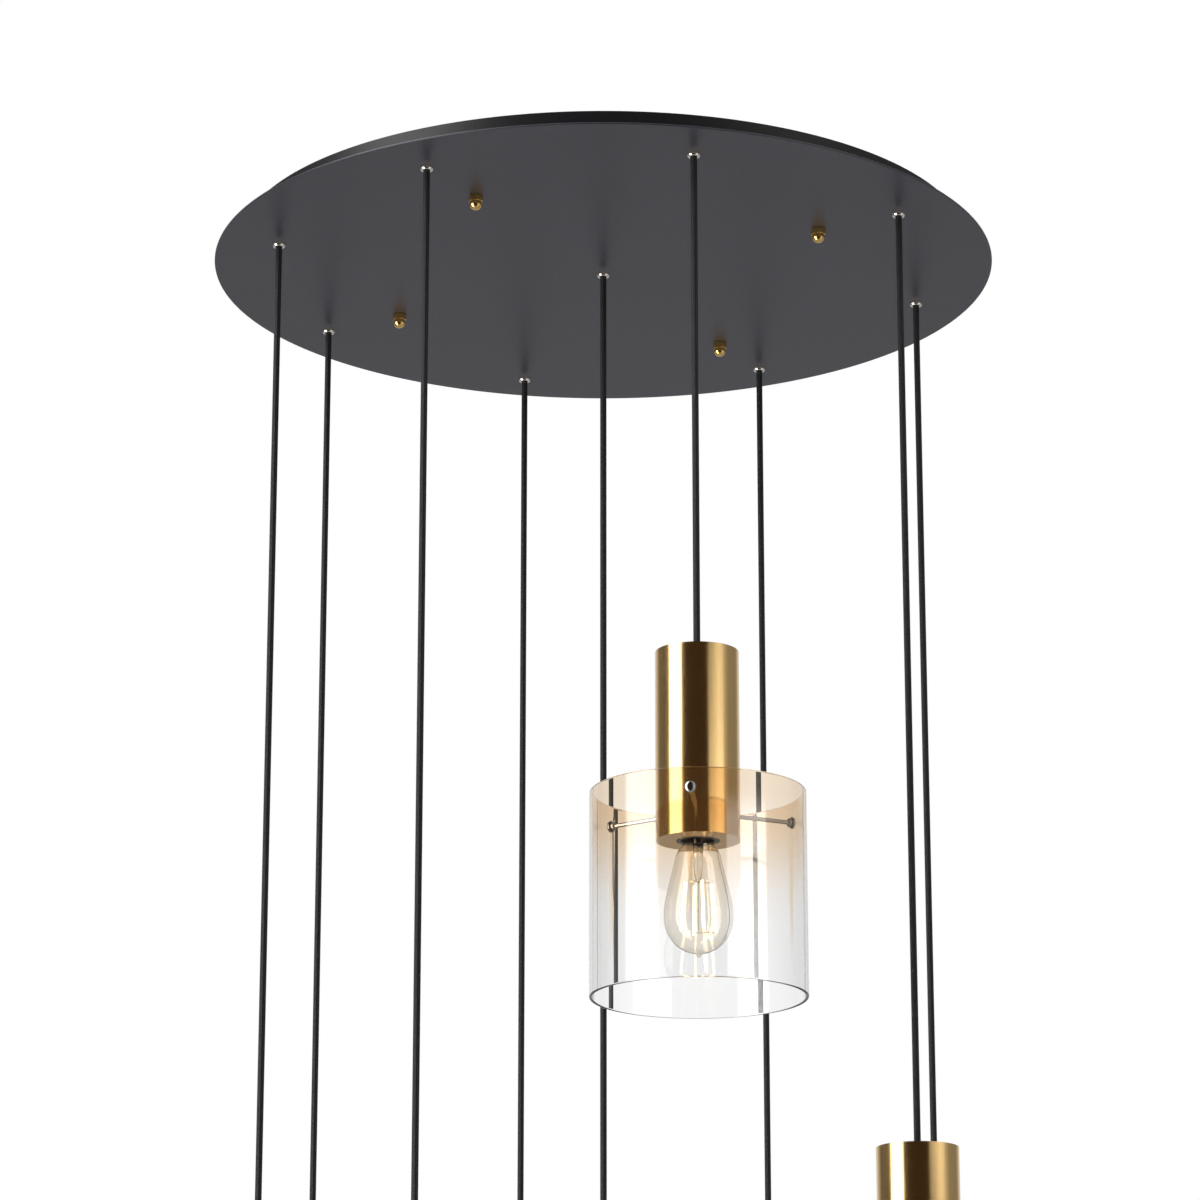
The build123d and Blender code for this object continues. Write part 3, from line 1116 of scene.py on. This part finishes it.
screw = turned(
    [(0.0, arm_end), (arm_radius, arm_end), (arm_radius, cap_seat), (cap_radius, cap_seat)]
    + quarter_arc((cap_radius, cap_seat + cap_rim), (0.0, cap_seat + cap_height)),
    steps=40,
    closed=False,
)
hung(as_mesh(around_sleeve(screw), "screws", chrome), "shade_cap_screws", "pendant", ["shade_arms"])

washer_pair = bmesh.new()
for seat in (arm_end, shade_radius):
    start = seat + washer_play
    stop = seat + glass_gap - washer_play
    washer = turned(
        [(washer_bore, start), (washer_radius, start), (washer_radius, stop), (washer_bore, stop)],
        steps=32,
    )
    added(washer_pair, washer)
washers = as_mesh(around_sleeve(washer_pair), "washers", silicone)
hung(washers, "clear_washers", "pendant", ["shade_arms"])

# %% [markdown]
# ## The studio
# The lamp hangs in white light. Polished and brushed metal is only as good as what it mirrors, so the
# world shows gloss a studio: a very bright upright panel on the left, a weak one on the right, warm dark
# between them where the camera stands, and pale grey behind the lamp. A straight look, also through the
# glass, meets plain white. A pale floor lies well below the lowest pendant.

# %% Sort the rays
ONE_BOUNCE = 0.5
TWO_BOUNCES = 1.5
HALF_TURN = 180.0
FULL_TURN = 360.0

world = bpy.data.worlds.new("studio")
bpy.context.scene.world = world
sky = Recipe(world)
rays = sky.add("ShaderNodeLightPath", {}).output.node.outputs
glossy_depth = Signal(sky, rays["Glossy Depth"])
straight = 1.0 - ((glossy_depth + Signal(sky, rays["Diffuse Depth"])) > ONE_BOUNCE)
mirrored = glossy_depth > ONE_BOUNCE
mirrored_again = glossy_depth > TWO_BOUNCES
inside_glass = Signal(sky, rays["Transmission Depth"]) > ONE_BOUNCE
direction = sky.add("ShaderNodeTexCoord", {}, output=0)


def along(direction, axis):
    """How far a direction points along an axis."""
    return sky.add("ShaderNodeVectorMath", {"operation": "DOT_PRODUCT"}, {0: direction, 1: axis}, output=1)


to_right = along(direction, camera_right)
to_camera = along(direction, towards_camera)
upwards = along(direction, Vector((0.0, 0.0, 1.0)))
swing = to_right.sum_with("ARCTAN2", to_right, to_camera) * (HALF_TURN / pi)
print("rays sorted")

# %% [markdown]
# ## The panels
# The light round the lamp is a colour ramp over the angle, with one stop wherever it changes. Two things
# are added to it: a narrow white card, which the shade mirrors as an upright strip to the right of the
# sleeve, and a faint lift for whatever is seen inside glass. Low down behind the lamp, and straight below
# it, the studio is an even grey.

# %% Light the world
# The studio's light at each angle round the lamp: 0 is towards the camera, positive is to its right.
BRIGHTEST = 5.0
WARM_DARK = (0.046, 0.031, 0.019)
studio_light = [
    (-180.0, (0.95, 0.95, 0.95)),
    (-152.0, (0.80, 0.80, 0.80)),
    (-128.0, (0.20, 0.19, 0.18)),
    (-86.0, (0.17, 0.16, 0.15)),
    (-80.0, (5.0, 5.0, 5.0)),
    (-49.0, (5.0, 5.0, 5.0)),
    (-43.0, WARM_DARK),
    (24.0, WARM_DARK),
    (44.0, (0.45, 0.43, 0.41)),
    (60.0, (0.92, 0.90, 0.88)),
    (72.0, (0.75, 0.73, 0.70)),
    (92.0, (0.33, 0.32, 0.31)),
    (128.0, (0.28, 0.28, 0.28)),
    (152.0, (0.80, 0.80, 0.80)),
    (180.0, (0.95, 0.95, 0.95)),
]
CARD_TURNS = (29.0, 75.0)
CARD_TURN_BLUR = 1.5
CARD_RISES = (0.187, 0.236)
CARD_RISE_BLUR = 0.003
CARD_LIGHT = 2.0
LIFT_IN_GLASS = 0.03
WHITE = (1.0, 1.0, 1.0)
EVEN_GREY = (0.42, 0.42, 0.43, 1.0)
SEEN_TWICE_MIRRORED = (0.55, 0.54, 0.53, 1.0)
SEEN_BY_MATT = (0.80, 0.80, 0.80, 1.0)
SEEN_STRAIGHT = (1.0, 1.0, 1.0, 1.0)
BEHIND_FROM = 118.0**2
BEHIND_TO = 200.0**2
BEHIND_BLUR = 900.0
LOW_DOWN = (-0.16, 0.02)
STRAIGHT_BELOW = (-0.95, -0.75)

stops = []
for turn, colour in studio_light:
    share = tuple(part / BRIGHTEST for part in colour)
    stops.append(((turn + HALF_TURN) / FULL_TURN, share + (1.0,)))
ring_light = sky.add("ShaderNodeValToRGB", {"stops": stops}, {0: (swing + HALF_TURN) / FULL_TURN})


def scaled(colour, factor):
    """A colour signal times a number or a signal."""
    return sky.add("ShaderNodeVectorMath", {"operation": "SCALE"}, {0: colour, "Scale": factor})


def between(value, low, high, soft):
    """1 where the value lies between two limits, and 0 elsewhere."""
    return sky.ramp(value, low - soft, low + soft) * sky.ramp(value, high - soft, high + soft, 1.0, 0.0)


card_across = between(swing, *CARD_TURNS, CARD_TURN_BLUR)
card = card_across * between(upwards, *CARD_RISES, CARD_RISE_BLUR) * CARD_LIGHT
lift = card + inside_glass * LIFT_IN_GLASS
summands = {0: scaled(ring_light, BRIGHTEST), 1: scaled(WHITE, lift)}
around = sky.add("ShaderNodeVectorMath", {"operation": "ADD"}, summands)
# The angle is squared so that left and right are treated alike.
behind = between(swing * swing, BEHIND_FROM, BEHIND_TO, BEHIND_BLUR)
studio = sky.blend(behind * sky.ramp(upwards, *LOW_DOWN, 1.0, 0.0), around, EVEN_GREY)
studio = sky.blend(sky.ramp(upwards, *STRAIGHT_BELOW, 1.0, 0.0), studio, EVEN_GREY)
studio = sky.blend(mirrored_again, studio, SEEN_TWICE_MIRRORED)
seen = sky.blend(mirrored, SEEN_BY_MATT, studio)
seen = sky.blend(straight, seen, SEEN_STRAIGHT)
background = sky.add("ShaderNodeBackground", {}, {"Color": seen, "Strength": 1.0})
sky.add("ShaderNodeOutputWorld", {}, {"Surface": background})
world.cycles.sampling_method = "NONE"
print("studio light with", len(stops), "stops")

# %% [markdown]
# ## A soft lamp and the floor
# A soft disc lamp hangs on the camera's side of the pendants, to the left, and gives matt surfaces their
# shape. It is hidden from the camera, from mirrors and from looks through glass, where it would show as a
# white patch. The floor is pale and wide.

# %% Hang a soft lamp and lay the floor
key = bpy.data.lights.new("soft_key", "AREA")
key.shape = "DISK"
key.size = 2.4
key.energy = 60.0
key_ahead = 2.6
key_left = 2.2
key_low = 0.2
key_aim = Vector((0.0, 0.0, -0.9))
key_object = bpy.data.objects.new("soft_key", key)
key_object.location = towards_camera * key_ahead - camera_right * key_left - Vector((0.0, 0.0, key_low))
key_object.rotation_euler = (key_aim - key_object.location).to_track_quat("-Z", "Y").to_euler()
key_object.visible_glossy = False
key_object.visible_transmission = False
key_object.visible_camera = False
bpy.context.scene.collection.objects.link(key_object)

floor_drop = 0.65
floor_radius = 14.0
floor_sides = 96
lowest = min(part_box(node)[0][2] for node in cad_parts)
floor_form = bmesh.new()
bmesh.ops.create_circle(floor_form, cap_ends=True, segments=floor_sides, radius=floor_radius)
moved(floor_form, Matrix.Translation((0.0, 0.0, lowest - floor_drop)))
floor_mesh = bpy.data.meshes.new("studio_floor")
floor_form.to_mesh(floor_mesh)
floor_form.free()


def pale_floor(recipe):
    return {
        "Base Color": (0.86, 0.86, 0.86, 1.0),
        "Roughness": 0.9,
        "Emission Color": (1.0, 1.0, 1.0, 1.0),
        "Emission Strength": 0.22,
    }


floor_mesh.materials.append(finish_of("pale_floor", pale_floor))
floor = bpy.data.objects.new("studio_floor", floor_mesh)
floor.visible_glossy = False
floor.visible_diffuse = False
floor.visible_transmission = False
bpy.context.scene.collection.objects.link(floor)
print("floor at", round(lowest - floor_drop, 3))
